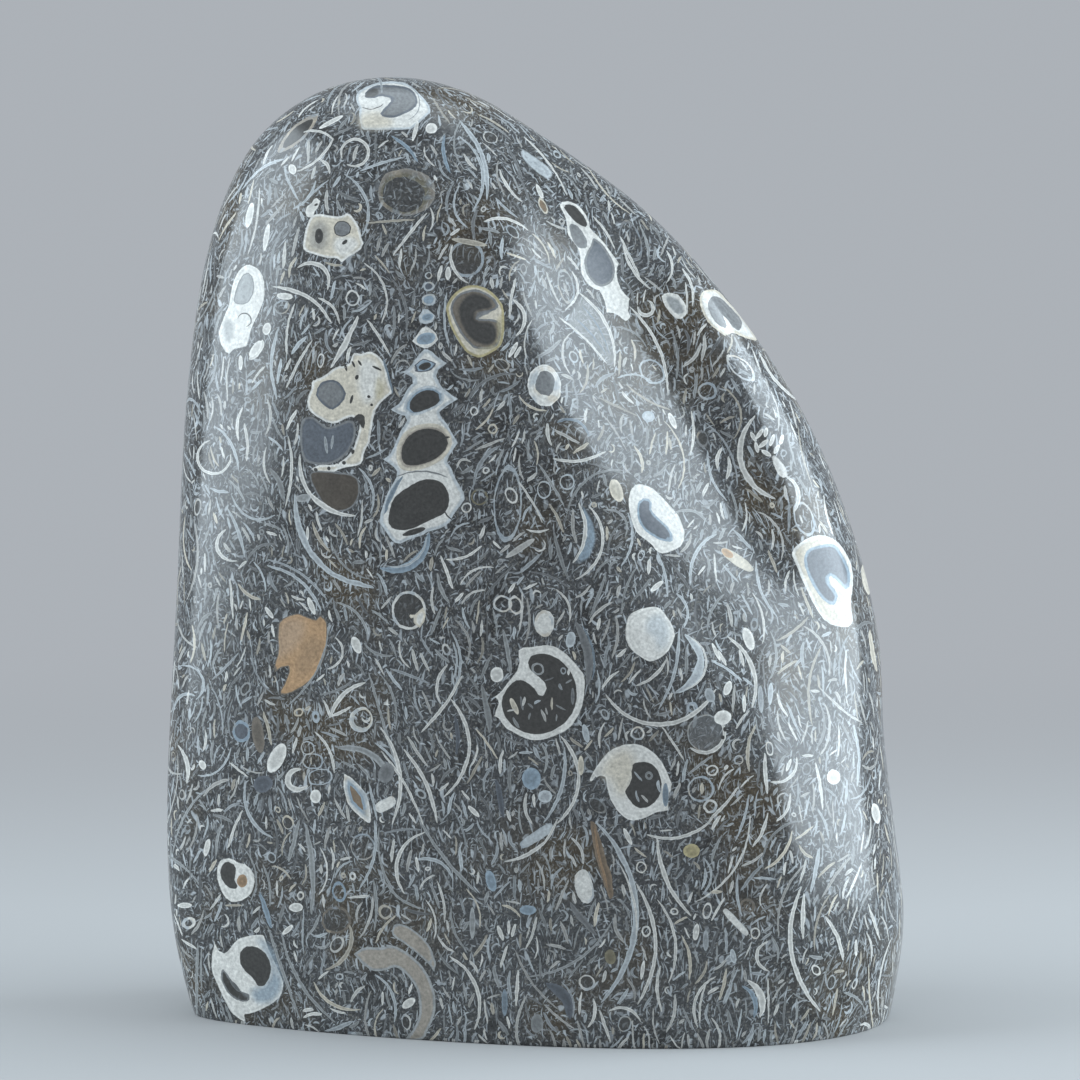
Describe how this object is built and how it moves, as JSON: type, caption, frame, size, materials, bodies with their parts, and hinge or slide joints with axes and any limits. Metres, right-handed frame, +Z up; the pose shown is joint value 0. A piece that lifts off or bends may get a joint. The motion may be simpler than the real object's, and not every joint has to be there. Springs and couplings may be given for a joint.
{
  "type": "polished fossil stone freeform",
  "caption": "Upright polished freeform of turritella agate, a dark stone full of pale cut snail shells, tapered to a rounded crown and standing on a flat ground base.",
  "frame": {"origin": "on the resting plane, under the centre of the stone's bounding box", "axes": "+Z up from the ground base to the crown, +X along the wide front face towards the sloping side, -Y out of the front face"},
  "size_m": [0.1072, 0.0618, 0.1362],
  "materials": {
    "agate": "high hand polish over dark grey silica with off-white, cream and blue-grey cut shells"
  },
  "bodies": {
    "root": {"stone": "agate"}
  },
  "joints": []
}
